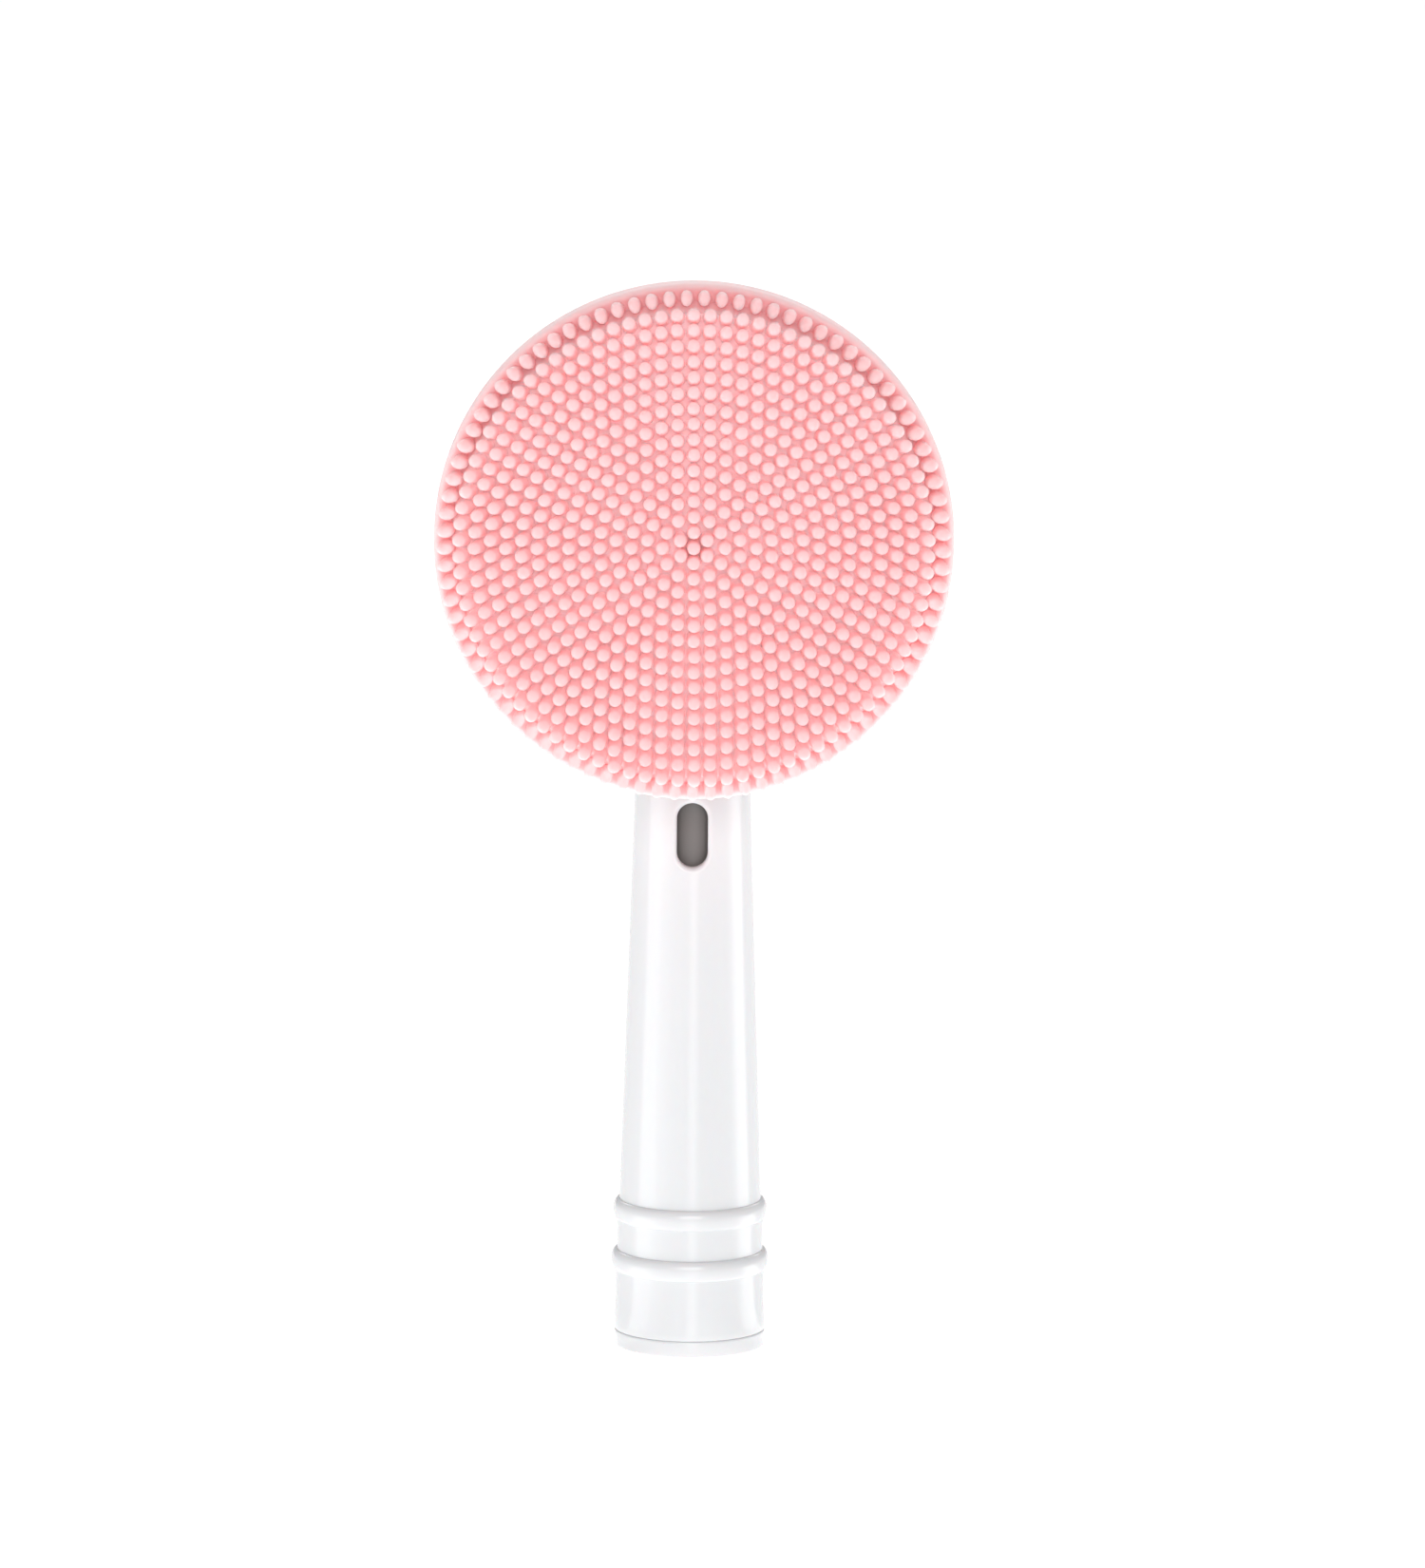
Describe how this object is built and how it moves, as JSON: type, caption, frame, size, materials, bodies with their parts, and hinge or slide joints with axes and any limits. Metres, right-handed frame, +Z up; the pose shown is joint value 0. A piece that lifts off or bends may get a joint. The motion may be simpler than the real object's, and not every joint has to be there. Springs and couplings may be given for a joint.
{
  "type": "facial cleansing brush head",
  "caption": "Round silicone cleansing pad on a slim hollow stem that pushes onto an oscillating toothbrush handle, whose shaft swings the pad to and fro.",
  "frame": {"origin": "centre of the socket's mouth, in the plane of the stem's bottom face, which rests on the handle", "axes": "+Z up along the stem and its drive shaft, -Y the way the bristles face and the disc's axis, +X to the right seen from the bristles' side"},
  "size_m": [0.0468, 0.0237, 0.0994],
  "materials": {
    "stem_plastic": "glossy moulded white",
    "disc_plastic": "semi-gloss moulded white",
    "bush_plastic": "natural acetal",
    "shaft_plastic": "dark grey acetal, satin",
    "steel": "drawn stainless",
    "pink_silicone": "soft satin silicone, slightly translucent"
  },
  "bodies": {
    "stem": {"stem_tube": "stem_plastic", "base_insert": "stem_plastic", "upper_bush": "bush_plastic", "pivot_pin": "steel", "thrust_washer": "steel"},
    "drive": {"drive_shaft": "shaft_plastic", "grip_clip": "steel", "crank_rod": "steel"},
    "disc": {"drive_hub": "disc_plastic", "hub_screw_1": "steel", "hub_screw_2": "steel", "hub_screw_3": "steel", "rear_dish": "disc_plastic", "front_plate": "disc_plastic", "silicone_pad": "pink_silicone"}
  },
  "joints": [
    {"name": "disc_swing", "type": "hinge", "parent": "stem", "child": "disc", "pos_m": [0, 0, 0.076], "axis": [0, 1, 0], "range_deg": [-22.5, 22.5]},
    {"name": "drive_turn", "type": "hinge", "parent": "stem", "child": "drive", "pos_m": [0, 0, 0], "axis": [0, 0, 1], "range_deg": [-37, 37]}
  ],
  "couplings": [
    {"joint": "drive_turn", "follows": "disc_swing", "ratio": -1.62}
  ]
}
